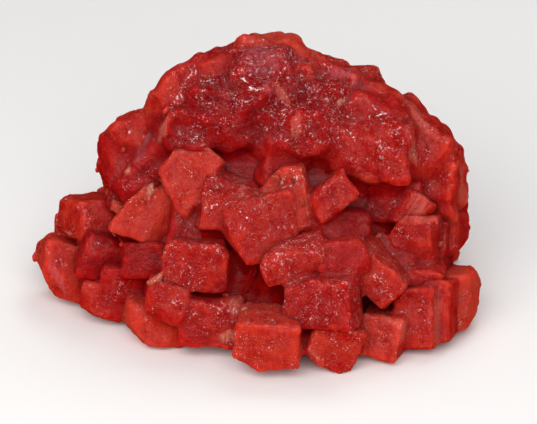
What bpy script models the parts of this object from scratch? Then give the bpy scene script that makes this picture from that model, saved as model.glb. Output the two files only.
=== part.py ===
"""A loose heap of raw tuna cubes, fused into one solid that stands on a flat base.

Units are metres, +Z is up, and the front of the heap faces -Y. The origin is on the
surface that the heap stands on, under its middle. Run it with
blender --background --python part.py, or from Blender's text editor.
"""

import math
import random
from typing import NamedTuple

import bmesh
import bpy
from mathutils import Matrix, Vector

MM = 0.001

# The cubes that show are placed by how they look from the front, from this far above level
LOOK_DOWN = math.radians(28.0)

# Rounding of the cut edges, in mm
EDGE_ROUNDING = 1.6

# Seeds of the small random differences between the cubes
SHOWING_SEED = 100
HIDDEN_SEED = 13

# Slanting facets at the front of each cube that shows, how much of its thinnest side each
# takes off, and how far the cube may lie nearer or farther than its row says, in mm
FACETS = 2
FACET_DEPTH = (0.10, 0.26)
LOOSENESS = 2.2

# How far inside the outline of the heap the middles of the hidden cubes and the core lie
HIDDEN_INSET = 8.0
CORE_INSET = 18.0
CORE_SIDES = 14

# Courses of the hidden cubes: how high their middles lie and how long their edges are, in mm
COURSES = ((7.5, 18), (20.5, 17), (33, 17), (45, 18), (56, 18), (65, 16))

# How far a hidden cube is taken to reach from its middle, as a share of its edge
HIDDEN_REACH = 0.55

# No hidden cube is put closer than this to the middle of another one, in mm
ELBOW_ROOM = 12.0

# Faces that meet at less than this are made one before the solid is cut into triangles
FLAT_ENOUGH = math.radians(1.0)

# Wet raw flesh
FLESH_COLOUR = (0.36, 0.022, 0.018)
FLESH_ROUGHNESS = 0.3


class Cube(NamedTuple):
    """One piece as it looks from the front, in mm and degrees.

    across is to the right of the heap's middle, up is up the view and back is the
    distance behind the heap's middle. The edges are wide, tall and deep. tip shows more
    of the top, swing shows the left side (or the right when it is negative), and roll
    turns the piece clockwise as it is seen. Each of the cuts takes a slice off: on which
    side, clockwise from straight up, and how deep. A piece without any gets two at random.
    A plain piece keeps its front face whole, and the others get slanting facets there.
    """

    across: float
    up: float
    back: float
    wide: float
    tall: float
    deep: float
    tip: float
    swing: float
    roll: float
    cuts: tuple = ()
    plain: bool = False


class Girth(NamedTuple):
    """How far the heap reaches at one height, in mm from its middle."""

    height: float
    left: float
    right: float
    front: float
    rear: float


# Outline of the heap from the surface it stands on to its top
GIRTHS = (
    Girth(0, -60, 60, -48, 50),
    Girth(20, -57, 60, -41, 46),
    Girth(40, -47, 59, -28, 37),
    Girth(55, -33, 53, -20, 28),
    Girth(68, -17, 30, -12, 20),
)

# Bottom course, left to right, as far as it shows from the front
FOOT = (
    Cube(-52.6, 6.3, -2, 17.5, 15.8, 16, 8, 12, 12, ((29, 2), (240, 5), (121, 3.5), (318, 2.5))),
    Cube(-40.8, -2.2, -16, 15, 10.5, 12, 12, 6, 12, ((220, 3), (130, 2))),
    Cube(-37.0, 2.5, -16, 13, 11, 12, 20, 0, 6),
    Cube(-27.0, -8.5, -28, 17, 12, 13, 8, 5, 2, ((230, 4), (30, 1.5))),
    Cube(-24.0, -2.0, -31, 12, 11, 12, 8, 0, 12, ((225, 2.5), (135, 2))),
    Cube(-12.3, -10.8, -33, 17, 8, 14, 6, 0, 5),
    Cube(-11.3, -4.8, -32, 16, 9, 13, 20, -8, 8, ((310, 2), (60, 2))),
    Cube(3.5, -12.2, -43, 18, 14, 15, 24, -4, 6, ((214, 3.6), (40, 1.5)), plain=True),
    Cube(20.3, -13.6, -43, 14.5, 14, 14, 12, 14, 22, ((225, 2.5), (20, 1.5))),
    Cube(35.0, -11.0, -36, 12, 12, 15, 10, -12, 8, ((32, 2.5), (135, 1)), plain=True),
    Cube(44.0, -6.3, -31, 12, 17, 15, 8, -10, 2, ((120, 1.5), (330, 2)), plain=True),
    Cube(51.2, -4.3, -26, 8, 18, 15, 8, -18, 4, ((30, 2), (110, 1), (135, 2))),
    Cube(54.6, -2.2, -19, 11.5, 17, 15, 8, -20, 2, ((61, 2.5), (121, 3.5))),
)

# Second course
WAIST = (
    Cube(-45.6, 20.4, -1, 14.4, 11.5, 15, 6, 30, -3, ((228, 2.5), (318, 1.5))),
    Cube(-43.0, 9.5, -11, 13, 13, 14, 8, 10, 16),
    Cube(-31.0, 8.5, -16, 13, 11, 14, 4, 0, 0),
    Cube(-15.6, 8.2, -28, 18.5, 14, 15, 14, -10, 8, ((60, 4), (320, 2.5), (231, 2.5))),
    Cube(-4.5, 4.0, -22, 9, 15, 13, 0, 10, 4),
    Cube(10.2, 9.0, -33, 19, 9.5, 11, 26, 6, -15, ((304, 4.5), (132, 5))),
    Cube(18.0, -2.4, -40, 19.2, 14, 15, 8, -18, 3, ((342, 3), (232, 2.5), (70, 1)), plain=True),
    Cube(22.6, 9.6, -31, 14, 10, 13, 6, 8, -8, ((320, 3), (220, 2))),
    Cube(31.6, 6.4, -31, 22, 9.5, 12, 18, 0, 44, ((320, 2), (140, 2)), plain=True),
    Cube(37.0, 9.0, -20, 13, 11, 13, 0, 0, 20),
    Cube(45.0, 4.0, -23, 14, 9, 13, 16, -6, 10),
    Cube(43.5, 15.0, -19, 12, 13.5, 13, 8, -10, 6, ((306, 3), (207, 2.5))),
    Cube(50.0, 13.0, -12, 7.5, 14, 13, 0, -14, 2),
    Cube(53.4, 16.5, -5, 8.6, 12, 13, 4, -20, 6, ((50, 2), (130, 2.5))),
)

# Third course, with the two palest cubes in front
CHEST = (
    Cube(-36.0, 27.5, -1, 12, 11, 13, 0, 0, 10),
    Cube(-30.0, 22.0, -11, 17, 16.5, 15, 4, 4, 21, ((313, 5.7), (60, 1.5))),
    Cube(-18.3, 31.5, -14, 13, 18.5, 14, 2, -10, 41, ((243, 3.7), (20, 1)), plain=True),
    Cube(-16.5, 17.0, -19, 16, 14, 14, 0, 0, 8),
    Cube(-8.5, 24.0, -18, 16, 15, 14, 10, 10, 10),
    Cube(0.3, 17.9, -26, 18.5, 17.4, 14, 8, 16, -12, ((230, 4.8), (146, 3.1))),
    Cube(8.3, 25.6, -22, 13, 19, 12, 6, -14, -8, ((312, 4.5), (76, 1.5))),
    Cube(21.0, 27.1, -21, 16, 9, 12, 8, 0, -36, ((300, 2), (60, 2.5))),
    Cube(21.3, 17.4, -20, 19, 12, 13, 8, 0, 8),
    Cube(38.0, 24.5, -12, 15, 12, 13, 0, -6, 4),
    Cube(43.0, 22.5, -14, 9, 10, 11, 6, 0, 30),
    Cube(50.0, 23.0, -7, 12, 9, 12, 0, -10, -4),
)

# The pressed lump on top, whose pieces are larger and run together
CROWN = (
    Cube(-35.2, 44.6, 7, 10, 9, 12, 6, 4, -24, ((300, 2), (200, 1))),
    Cube(-36.8, 35.8, 1, 12.5, 13.5, 13, 4, 6, 2, ((124, 5), (253, 2.2), (330, 1.5))),
    Cube(-33.0, 29.0, -7, 11, 10, 12, 0, 10, -35),
    Cube(-25.6, 37.0, -4, 11.5, 14, 15, 0, 8, 38, ((300, 2), (200, 2))),
    Cube(-17.2, 45.0, -7, 18, 12, 14, 10, 12, -4, ((310, 2.5), (230, 2.5))),
    Cube(-7.0, 46.5, -6, 12, 13, 14, 4, 0, 8),
    Cube(-7.0, 37.0, 1, 17, 14, 14, 0, 0, 0),
    Cube(6.4, 36.7, -11, 12.6, 13, 13, 16, 18, 4, ((45, 2.5), (315, 2)), plain=True),
    Cube(-20.3, 54.6, 1, 18, 12.5, 17, 4, 16, -38, ((270, 2), (325, 1.5))),
    Cube(-9.0, 60.7, 5, 14, 11, 15, 10, 6, -28, ((300, 2), (20, 1))),
    Cube(-4.1, 51.4, -5, 28, 16, 18, 22, 0, -3, ((235, 4), (140, 3), (315, 2.5))),
    Cube(1.5, 60.5, 1, 17, 12, 18, 14, 0, -6),
    Cube(4.0, 66.3, 10, 18, 8.5, 15, 4, 0, 1, ((107, 1.5), (320, 1.5))),
    Cube(9.5, 58.5, 3, 10, 10, 14, 8, 0, 10),
    Cube(14.6, 62.5, 8, 9, 9, 13, 6, 0, 16, ((20, 1.5), (330, 1.5))),
    Cube(21.7, 57.4, 6, 13, 11, 15, 8, -8, 28, ((50, 2), (340, 2))),
    Cube(17.0, 51.0, -3, 14, 14, 16, 16, -6, 8, ((315, 2), (45, 2))),
    Cube(15.0, 44.0, -8, 15, 13, 15, 6, -6, 0, ((140, 3), (225, 2))),
    Cube(31.0, 52.8, 5, 13, 12, 15, 6, -16, 28, ((20, 2), (60, 2))),
    Cube(32.5, 46.5, -4, 18, 13, 17, 8, -6, 12, ((45, 2), (315, 2))),
    Cube(44.3, 43.3, 3, 23, 13, 19, 10, -10, 43, ((350, 2), (60, 2))),
    Cube(31.5, 38.7, -9, 24, 16.5, 18, 8, -6, 4, ((225, 3), (315, 2), (130, 2))),
    Cube(21.0, 35.5, -7, 13, 12, 15, 4, 0, 0),
    Cube(48.8, 30.2, -3, 17, 18, 18, 6, -20, 8, ((48, 4.5), (124, 3))),
    Cube(36.0, 30.5, -7, 18, 11, 16, 0, 0, 4),
)

SHOWING = FOOT + WAIST + CHEST + CROWN


def seat(cube):
    """The middle of a showing cube, in mm: its height follows from where it is seen."""
    height = (cube.up - cube.back * math.sin(LOOK_DOWN)) / math.cos(LOOK_DOWN)
    return Vector((cube.across, cube.back, height))


def turn(cube):
    """How a showing cube is turned, to someone looking along its line of sight."""
    tip, swing, roll = (math.radians(a) for a in (cube.tip, cube.swing, cube.roll))
    return (
        Matrix.Rotation(roll, 4, "Y")
        @ Matrix.Rotation(swing, 4, "Z")
        @ Matrix.Rotation(tip, 4, "X")
    )


def cut_at(shape, point, outwards):
    """Takes off all that lies outside a plane, and closes the cut."""
    bmesh.ops.bisect_plane(
        shape,
        geom=shape.verts[:] + shape.edges[:] + shape.faces[:],
        dist=0.001,
        plane_co=point,
        plane_no=outwards,
        clear_outer=True,
    )
    rim = [edge for edge in shape.edges if edge.is_boundary]
    bmesh.ops.holes_fill(shape, edges=rim, sides=0)


def slice_off(shape, outwards, depth):
    reach = max(corner.co.dot(outwards) for corner in shape.verts)
    cut_at(shape, outwards * (reach - depth), outwards)


def rough_cube(wide, deep, tall, rng):
    """A cube whose corners are a little out of square."""
    block = bmesh.new()
    bmesh.ops.create_cube(block, size=1.0)
    for corner in block.verts:
        for axis, edge in enumerate((wide, deep, tall)):
            corner.co[axis] *= edge * rng.uniform(0.9, 1.07)
    return block


def slice_at_random(block, slices, thinnest, rng):
    for _ in range(slices):
        slant = Vector([rng.choice((-1, 1)) * rng.uniform(0.25, 1.0) for _ in range(3)])
        slice_off(block, slant.normalized(), thinnest * rng.uniform(0.10, 0.22))


def slant_the_front(block, thinnest, rng):
    """Slices off parts of a turned block that face the viewer, its outline left as it is."""
    for _ in range(FACETS):
        bearing = rng.uniform(0, math.tau)
        lean = rng.uniform(0.35, 0.75)
        towards = -math.sqrt(1 - lean * lean)
        outwards = Vector((lean * math.sin(bearing), towards, lean * math.cos(bearing)))
        slice_off(block, outwards, thinnest * rng.uniform(*FACET_DEPTH))


def round_edges(block):
    bmesh.ops.remove_doubles(block, verts=block.verts, dist=1.5)
    bmesh.ops.bevel(
        block,
        geom=block.edges[:],
        offset=EDGE_ROUNDING,
        segments=1,
        profile=0.5,
        affect="EDGES",
        clamp_overlap=True,
        material=-1,
    )
    bmesh.ops.remove_doubles(block, verts=block.verts, dist=0.4)
    return skin_over(block)


def skin_over(block):
    """The smallest bulging solid round a block's corners, so that it is closed and simple."""
    skinned = bmesh.new()
    for corner in block.verts:
        skinned.verts.new(corner.co)
    block.free()
    bmesh.ops.convex_hull(skinned, input=skinned.verts[:], use_existing_faces=False)
    inside = [corner for corner in skinned.verts if not corner.link_faces]
    bmesh.ops.delete(skinned, geom=inside, context="VERTS")
    return skinned


def showing_block(cube, number):
    """A showing cube in its place, in mm."""
    rng = random.Random(SHOWING_SEED + number)
    block = rough_cube(cube.wide, cube.deep, cube.tall, rng)
    bmesh.ops.transform(block, matrix=turn(cube), verts=block.verts)
    for side, depth in cube.cuts:
        outwards = Vector((math.sin(math.radians(side)), 0, math.cos(math.radians(side))))
        slice_off(block, outwards, depth)
    thinnest = min(cube.wide, cube.deep, cube.tall)
    if not cube.cuts:
        slice_at_random(block, 2, thinnest, rng)
    if not cube.plain:
        slant_the_front(block, thinnest, rng)
    block = round_edges(block)
    nearer = Matrix.Translation((0, rng.uniform(-LOOSENESS, LOOSENESS), 0))
    place = Matrix.Translation(seat(cube)) @ Matrix.Rotation(-LOOK_DOWN, 4, "X") @ nearer
    bmesh.ops.transform(block, matrix=place, verts=block.verts)
    return block


def hidden_block(point, edge, number):
    """A cube of the sides or back in its place, in mm."""
    rng = random.Random(HIDDEN_SEED + number)
    block = rough_cube(*(edge * rng.uniform(0.85, 1.1) for _ in range(3)), rng)
    slice_at_random(block, 1, edge, rng)
    block = round_edges(block)
    place = (
        Matrix.Translation(point)
        @ Matrix.Rotation(rng.uniform(0, math.tau), 4, "Z")
        @ Matrix.Rotation(rng.gauss(0, math.radians(16)), 4, "X")
        @ Matrix.Rotation(rng.gauss(0, math.radians(16)), 4, "Y")
    )
    bmesh.ops.transform(block, matrix=place, verts=block.verts)
    return block


def girth_at(height):
    """The outline of the heap at a height, read between the two nearest girths."""
    for low, high in zip(GIRTHS, GIRTHS[1:]):
        if height <= high.height:
            break
    share = (height - low.height) / (high.height - low.height)
    return Girth(*(a + (b - a) * share for a, b in zip(low, high)))


def round_the_heap(height, inset, bearing):
    """The point this far inside the outline, on a bearing taken from +X towards +Y."""
    girth = girth_at(height)
    half_wide = max(1, (girth.right - girth.left) / 2 - inset)
    half_deep = max(1, (girth.rear - girth.front) / 2 - inset)
    middle = Vector(((girth.left + girth.right) / 2, (girth.front + girth.rear) / 2, height))
    return middle + Vector((half_wide * math.cos(bearing), half_deep * math.sin(bearing), 0))


def core():
    """The middle of the heap, as rings of points joined from the bottom to the top."""
    shape = bmesh.new()
    rings = []
    for girth in GIRTHS:
        bearings = [math.tau * side / CORE_SIDES for side in range(CORE_SIDES)]
        points = [round_the_heap(girth.height, CORE_INSET, bearing) for bearing in bearings]
        rings.append([shape.verts.new(point) for point in points])
    for low, high in zip(rings, rings[1:]):
        for side in range(CORE_SIDES):
            after = (side + 1) % CORE_SIDES
            shape.faces.new((low[side], low[after], high[after], high[side]))
    shape.faces.new(rings[0][::-1])
    shape.faces.new(rings[-1])
    return shape


def inside_the_view(across, up):
    """Whether this spot lies within the outline of the showing cubes, seen from the front."""
    level = [cube for cube in SHOWING if abs(cube.up - up) < cube.tall / 2]
    over = [cube for cube in SHOWING if abs(cube.across - across) < cube.wide / 2]
    return (
        any(cube.across - cube.wide / 2 < across for cube in level)
        and any(cube.across + cube.wide / 2 > across for cube in level)
        and any(cube.up + cube.tall / 2 > up for cube in over)
    )


def stands_out(point, edge):
    """Whether a hidden piece here would show past the outline of the showing cubes."""
    up = point.y * math.sin(LOOK_DOWN) + point.z * math.cos(LOOK_DOWN)
    reach = edge * HIDDEN_REACH
    bearings = [math.tau * step / 8 for step in range(8)]
    spots = [(point.x + reach * math.cos(b), up + reach * math.sin(b)) for b in bearings]
    return not all(inside_the_view(*spot) for spot in spots)


def hidden_seats():
    """Where the cubes of the sides and back lie: rings round the heap, clear of the rest."""
    rng = random.Random(HIDDEN_SEED)
    taken = [seat(cube) for cube in SHOWING]
    seats = []
    for height, edge in COURSES:
        girth = girth_at(height)
        around = math.pi * (girth.right - girth.left + girth.rear - girth.front) / 2
        count = round(around / (edge * 0.92))
        for step in range(count):
            bearing = math.tau * (step + rng.uniform(0.3, 0.7)) / count
            inset = HIDDEN_INSET
            point = round_the_heap(height, inset, bearing)
            while stands_out(point, edge) and inset < 3 * HIDDEN_INSET:
                inset += 1
                point = round_the_heap(height - (inset - HIDDEN_INSET) / 2, inset, bearing)
            if stands_out(point, edge) or point.y < girth.front * 0.3:
                continue
            if min((point - other).length for other in taken) < ELBOW_ROOM:
                continue
            taken.append(point)
            seats.append((point, edge))
    return seats


def add_object(name, shape, collection):
    """Cuts a shape off at the surface the heap stands on, and makes it an object."""
    cut_at(shape, Vector((0, 0, 0)), Vector((0, 0, -1)))
    mesh = bpy.data.meshes.new(name)
    bmesh.ops.scale(shape, vec=(MM, MM, MM), verts=shape.verts)
    shape.to_mesh(mesh)
    shape.free()
    made = bpy.data.objects.new(name, mesh)
    collection.objects.link(made)
    return made


def add_cubes(collection):
    for number, cube in enumerate(SHOWING):
        add_object(f"showing_{number:02d}", showing_block(cube, number), collection)
    for number, (point, edge) in enumerate(hidden_seats()):
        add_object(f"hidden_{number:02d}", hidden_block(point, edge, number), collection)


def fuse(target, pieces):
    """Joins all the pieces to the target in one Boolean, applied."""
    modifier = target.modifiers.new("fuse", "BOOLEAN")
    modifier.operation = "UNION"
    modifier.solver = "EXACT"
    modifier.operand_type = "COLLECTION"
    modifier.collection = pieces
    bpy.context.view_layer.update()
    graph = bpy.context.evaluated_depsgraph_get()
    result = bpy.data.meshes.new_from_object(target.evaluated_get(graph))
    target.modifiers.clear()
    old = target.data
    target.data = result
    bpy.data.meshes.remove(old)


def loose_pieces(shape):
    """The corners of each separate piece of a shape, smallest piece first."""
    seen = set()
    pieces = []
    for start in shape.verts:
        if start in seen:
            continue
        seen.add(start)
        piece = [start]
        for corner in piece:
            for edge in corner.link_edges:
                other = edge.other_vert(corner)
                if other not in seen:
                    seen.add(other)
                    piece.append(other)
        pieces.append(piece)
    return sorted(pieces, key=len)


def tidy_up(target):
    """Drops scraps and the walls of sealed hollows, and merges faces that lie in one plane."""
    shape = bmesh.new()
    shape.from_mesh(target.data)
    for piece in loose_pieces(shape)[:-1]:
        bmesh.ops.delete(shape, geom=piece, context="VERTS")
    bmesh.ops.dissolve_limit(
        shape, angle_limit=FLAT_ENOUGH, verts=shape.verts, edges=shape.edges, delimit=set()
    )
    bmesh.ops.triangulate(shape, faces=shape.faces)
    shape.to_mesh(target.data)
    shape.free()


def flesh():
    """Deep red, and glossy with wet."""
    material = bpy.data.materials.new("tuna_flesh")
    material.use_nodes = True
    shader = material.node_tree.nodes["Principled BSDF"]
    shader.inputs["Base Color"].default_value = (*FLESH_COLOUR, 1.0)
    shader.inputs["Roughness"].default_value = FLESH_ROUGHNESS
    shader.inputs["Metallic"].default_value = 0.0
    return material


def new_collection(name):
    collection = bpy.data.collections.new(name)
    bpy.context.scene.collection.children.link(collection)
    return collection


def main():
    for old in list(bpy.data.objects):
        bpy.data.objects.remove(old)
    parts = new_collection("raw_tuna_cubes")
    pieces = new_collection("pieces")
    add_cubes(pieces)
    heap = add_object("tuna_cubes", core(), parts)
    fuse(heap, pieces)
    for piece in list(pieces.objects):
        bpy.data.objects.remove(piece)
    bpy.data.collections.remove(pieces)
    tidy_up(heap)
    heap.data.materials.clear()
    heap.data.materials.append(flesh())


if __name__ == "__main__":
    main()
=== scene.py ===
"""The dressed look of a loose heap of raw tuna cubes.

Every cube of the plain solid is made again with a wet, grainy, slightly torn skin, over a
core of the heap's own. The cubes lie where part.py puts them: their sizes and places, the
seeds and the order of the random draws are the same as there. Scraps and crumbs too small
for the solid are added.
"""

import functools
import math
import random
from typing import NamedTuple

import bmesh
import bpy
import numpy as np
from bpy.props import FloatProperty, FloatVectorProperty, PointerProperty
from mathutils import Matrix, Vector, noise
from mathutils.bvhtree import BVHTree


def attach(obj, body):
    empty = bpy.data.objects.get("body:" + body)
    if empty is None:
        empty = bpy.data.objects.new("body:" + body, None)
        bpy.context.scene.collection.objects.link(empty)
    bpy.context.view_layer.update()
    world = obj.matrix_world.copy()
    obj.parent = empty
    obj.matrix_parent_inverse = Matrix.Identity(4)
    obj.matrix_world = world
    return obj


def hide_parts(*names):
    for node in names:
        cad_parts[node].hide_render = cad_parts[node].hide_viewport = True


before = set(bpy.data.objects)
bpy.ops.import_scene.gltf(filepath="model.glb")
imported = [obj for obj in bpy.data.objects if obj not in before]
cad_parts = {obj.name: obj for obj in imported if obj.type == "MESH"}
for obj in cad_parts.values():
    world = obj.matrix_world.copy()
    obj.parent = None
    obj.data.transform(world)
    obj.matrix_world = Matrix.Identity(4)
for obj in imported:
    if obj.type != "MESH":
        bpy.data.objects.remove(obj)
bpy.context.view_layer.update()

bl_info = {
    "name": "Raw tuna cubes",
    "version": (1, 0, 0),
    "blender": (4, 5, 0),
    "location": "3D View > Sidebar > Tuna",
    "description": "Makes the wet flesh of a heap of raw tuna cubes over its plain solid",
    "category": "Object",
}

NODE = "tuna_cubes"
BODY = "root"
MM = 0.001

# The picture that the camera matches: its size in pixels, how much of the heap one pixel
# spans in mm, and the pixel that lies on the heap's middle at the height of the surface
PICTURE = (537, 424)
PIXEL = 0.28
MIDDLE = (257, 290)

# The cubes that show are placed by how they look from the front, from this far above level
LOOK_DOWN = math.radians(28.0)
TO_VIEWER = (0, -math.cos(LOOK_DOWN), math.sin(LOOK_DOWN))
UP_IN_VIEW = (0, math.sin(LOOK_DOWN), math.cos(LOOK_DOWN))

# How each cube is cut: sizes and depths as shares of its edge, slants as shares of a
# direction, and the rest in mm
SHOWING_SEED = 100
OUT_OF_SQUARE = (0.9, 1.07)
SLICE_DEPTH = (0.10, 0.22)
SLICE_SLANT = (0.25, 1.0)
FACETS = 2
FACET_DEPTH = (0.10, 0.26)
FACET_LEAN = (0.35, 0.75)
SHORTEST_EDGE = 1.5
EDGE_ROUNDING = 0.8
MERGED_WITHIN = 0.2
LOOSENESS = 2.2

# The cubes of the sides and back: the height and the edge of each course of them, their
# looks, and how they keep inside the outline, apart, and behind a share of the front
HIDDEN_SEED = 13
COURSES = ((7.5, 18), (20.5, 17), (33, 17), (45, 18), (56, 18), (65, 16))
HIDDEN_SIZE = (0.85, 1.1)
HIDDEN_TILT = math.radians(16)
HIDDEN_TONE = (0.3, 0.75)
HIDDEN_WET = (0.2, 0.9)
HIDDEN_INSET = 8.0
HIDDEN_REACH = 0.55
HIDDEN_PITCH = 0.92
HIDDEN_STEP = (0.3, 0.7)
ELBOW_ROOM = 12.0
CLEAR_FRONT = 0.3

# The core comes nearer to the surface than the plain solid's, so that the gaps end in flesh
CORE_INSET = 12.5
CORE_SIDES = 14
# The core's dark tone is painted shade, as the core shows only deep in the gaps
CORE_SHADE_TONE = 0.1

# Further than any line of sight has to reach, in mm
FAR = 300


class Cube(NamedTuple):
    """One piece as it looks from the front, in mm and degrees, as in part.py.

    tone runs from 0, the deepest red, to 1, the lightest. The darkest tones, on pieces under
    the lump on top and deep between the others, are partly painted shade. wet is how much of
    the piece glitters, from 0 to 1, by its gloss and by painted glints.
    """

    across: float
    up: float
    back: float
    wide: float
    tall: float
    deep: float
    tip: float
    swing: float
    roll: float
    cuts: tuple = ()
    tone: float = 0.5
    wet: float = 0.4
    plain: bool = False


class Girth(NamedTuple):
    """How far the heap reaches at one height, in mm from its middle."""

    height: float
    left: float
    right: float
    front: float
    rear: float


class Mark(NamedTuple):
    """An oval patch on one piece, as it is seen from the front, in mm and degrees clockwise."""

    cube: int
    across: float
    up: float
    half_long: float
    half_wide: float
    turned: float


GIRTHS = (
    Girth(0, -60, 60, -48, 50),
    Girth(20, -57, 60, -41, 46),
    Girth(40, -47, 59, -28, 37),
    Girth(55, -33, 53, -20, 28),
    Girth(68, -17, 30, -12, 20),
)

FOOT = (
    Cube(-52.6, 6.3, -2, 17.5, 15.8, 16, 8, 12, 12, ((29, 2), (240, 5), (121, 3.5), (318, 2.5)), 0.75, 0.4),
    Cube(-40.8, -2.2, -16, 15, 10.5, 12, 12, 6, 12, ((220, 3), (130, 2)), 0.5, 0.45),
    Cube(-37, 2.5, -16, 13, 11, 12, 20, 0, 6, (), 0.35, 0.5),
    Cube(-27, -8.5, -28, 17, 12, 13, 8, 5, 2, ((230, 4), (30, 1.5)), 0.85, 0.35),
    Cube(-24, -2, -31, 12, 11, 12, 8, 0, 12, ((225, 2.5), (135, 2)), 0.5, 0.45),
    Cube(-12.3, -10.8, -33, 17, 8, 14, 6, 0, 5, (), 0.5, 0.2),
    Cube(-11.3, -4.8, -32, 16, 9, 13, 20, -8, 8, ((310, 2), (60, 2)), 0.45, 0.6),
    Cube(3.5, -12.2, -43, 18, 14, 15, 24, -4, 6, ((214, 3.6), (40, 1.5)), 0.72, 0.5, plain=True),
    Cube(20.3, -13.6, -43, 14.5, 14, 14, 12, 14, 22, ((225, 2.5), (20, 1.5)), 0.66, 0.7),
    Cube(35, -11, -36, 12, 12, 15, 10, -12, 8, ((32, 2.5), (135, 1)), 0.74, 0.35, plain=True),
    Cube(44, -6.3, -31, 12, 17, 15, 8, -10, 2, ((120, 1.5), (330, 2)), 0.56, 0.35, plain=True),
    Cube(51.2, -4.3, -26, 8, 18, 15, 8, -18, 4, ((30, 2), (110, 1), (135, 2)), 0.55, 0.2),
    Cube(54.6, -2.2, -19, 11.5, 17, 15, 8, -20, 2, ((61, 2.5), (121, 3.5)), 0.95, 0.35),
)

WAIST = (
    Cube(-45.6, 20.4, -1, 14.4, 11.5, 15, 6, 30, -3, ((228, 2.5), (318, 1.5)), 0.62, 0.25),
    Cube(-43, 9.5, -11, 13, 13, 14, 8, 10, 16, (), 0.2, 0.2),
    Cube(-31, 8.5, -16, 13, 11, 14, 4, 0, 0, (), 0.25, 0.15),
    Cube(-15.6, 8.2, -28, 18.5, 14, 15, 14, -10, 8, ((60, 4), (320, 2.5), (231, 2.5)), 0.48, 0.75),
    Cube(-4.5, 4, -22, 9, 15, 13, 0, 10, 4, (), 0.15, 0.1),
    Cube(10.2, 9, -33, 19, 9.5, 11, 26, 6, -15, ((304, 4.5), (132, 5)), 0.55, 1),
    Cube(18, -2.4, -40, 19.2, 14, 15, 8, -18, 3, ((342, 3), (232, 2.5), (70, 1)), 0.4, 0.75, plain=True),
    Cube(22.6, 9.6, -31, 14, 10, 13, 6, 8, -8, ((320, 3), (220, 2)), 0.5, 0.2),
    Cube(31.6, 6.4, -31, 22, 9.5, 12, 18, 0, 44, ((320, 2), (140, 2)), 0.62, 0.55, plain=True),
    Cube(37, 9, -20, 13, 11, 13, 0, 0, 20, (), 0.25, 0.1),
    Cube(45, 4, -23, 14, 9, 13, 16, -6, 10, (), 0.45, 0.3),
    Cube(43.5, 15, -19, 12, 13.5, 13, 8, -10, 6, ((306, 3), (207, 2.5)), 0.48, 0.35),
    Cube(50, 13, -12, 7.5, 14, 13, 0, -14, 2, (), 0.25, 0.4),
    Cube(53.4, 16.5, -5, 8.6, 12, 13, 4, -20, 6, ((50, 2), (130, 2.5)), 0.5, 0.2),
)

CHEST = (
    Cube(-36, 27.5, -1, 12, 11, 13, 0, 0, 10, (), 0.2, 0.4),
    Cube(-30, 22, -11, 17, 16.5, 15, 4, 4, 21, ((313, 5.7), (60, 1.5)), 0.8, 0.4),
    Cube(-18.3, 31.5, -14, 13, 18.5, 14, 2, -10, 41, ((243, 3.7), (20, 1)), 0.74, 0.45, plain=True),
    Cube(-16.5, 17, -19, 16, 14, 14, 0, 0, 8, (), 0.25, 0.2),
    Cube(-8.5, 24, -18, 16, 15, 14, 10, 10, 10, (), 0.5, 0.7),
    Cube(0.3, 17.9, -26, 18.5, 17.4, 14, 8, 16, -12, ((230, 4.8), (146, 3.1)), 0.54, 0.48),
    Cube(8.3, 25.6, -22, 13, 19, 12, 6, -14, -8, ((312, 4.5), (76, 1.5)), 0.78, 0.6),
    Cube(21, 27.1, -21, 16, 9, 12, 8, 0, -36, ((300, 2), (60, 2.5)), 0.52, 0.6),
    Cube(21.3, 17.4, -20, 19, 12, 13, 8, 0, 8, (), 0.2, 0.1),
    Cube(38, 24.5, -12, 15, 12, 13, 0, -6, 4, (), 0.12, 0.1),
    Cube(43, 22.5, -14, 9, 10, 11, 6, 0, 30, (), 0.55, 0.3),
    Cube(50, 23, -7, 12, 9, 12, 0, -10, -4, (), 0.85, 0.2),
)

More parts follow.
